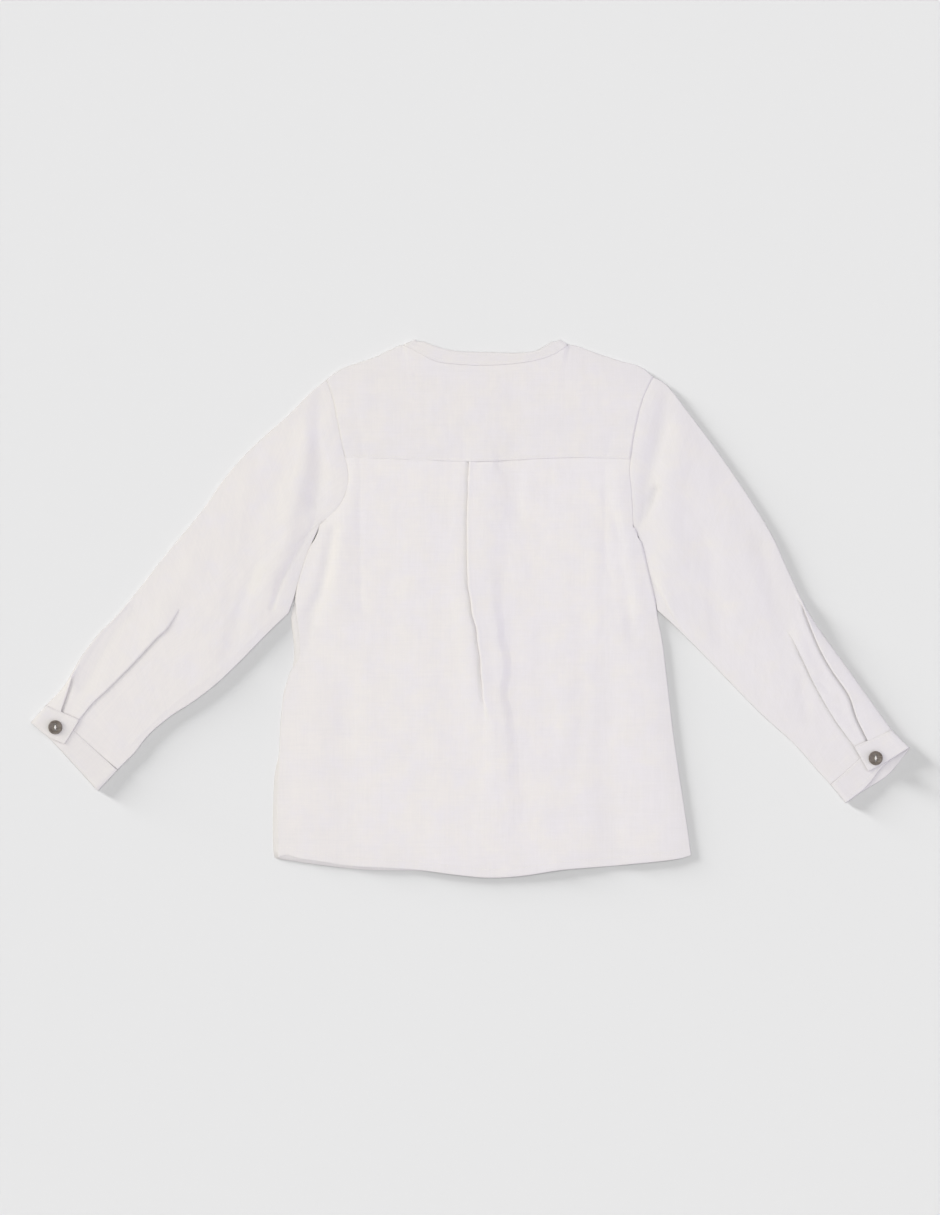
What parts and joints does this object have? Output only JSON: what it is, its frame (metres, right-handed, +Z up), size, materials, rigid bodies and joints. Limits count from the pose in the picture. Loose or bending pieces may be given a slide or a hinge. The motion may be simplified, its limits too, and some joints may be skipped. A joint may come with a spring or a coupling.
{
  "type": "long-sleeve shirt",
  "caption": "Child's long-sleeve linen shirt with a band collar, laid flat with its back up: yoke, box pleat, set-in sleeves with slits, and cuffs with tabs that button.",
  "frame": {"origin": "Centre of the shirt's outline seen from above, on the surface that it lies on.", "axes": "+X along the width from cuff to cuff, to the right as the back is seen from above with the collar at the top; +Y from the hem towards the collar; +Z up from the surface, out of the back of the shirt"},
  "size_m": [0.7464, 0.4582, 0.0078],
  "materials": {
    "shirt_cloth": "matte plain weave linen",
    "button": "satin, horn-like brown grey"
  },
  "bodies": {
    "root": {"back_panel": "shirt_cloth", "yoke": "shirt_cloth", "front_left": "shirt_cloth", "front_right": "shirt_cloth", "front_placket": "shirt_cloth", "collar_band": "shirt_cloth", "sleeve_left": "shirt_cloth", "sleeve_right": "shirt_cloth", "cuff_left": "shirt_cloth", "cuff_right": "shirt_cloth", "button_cuff_left": "button", "button_cuff_right": "button"}
  },
  "joints": []
}
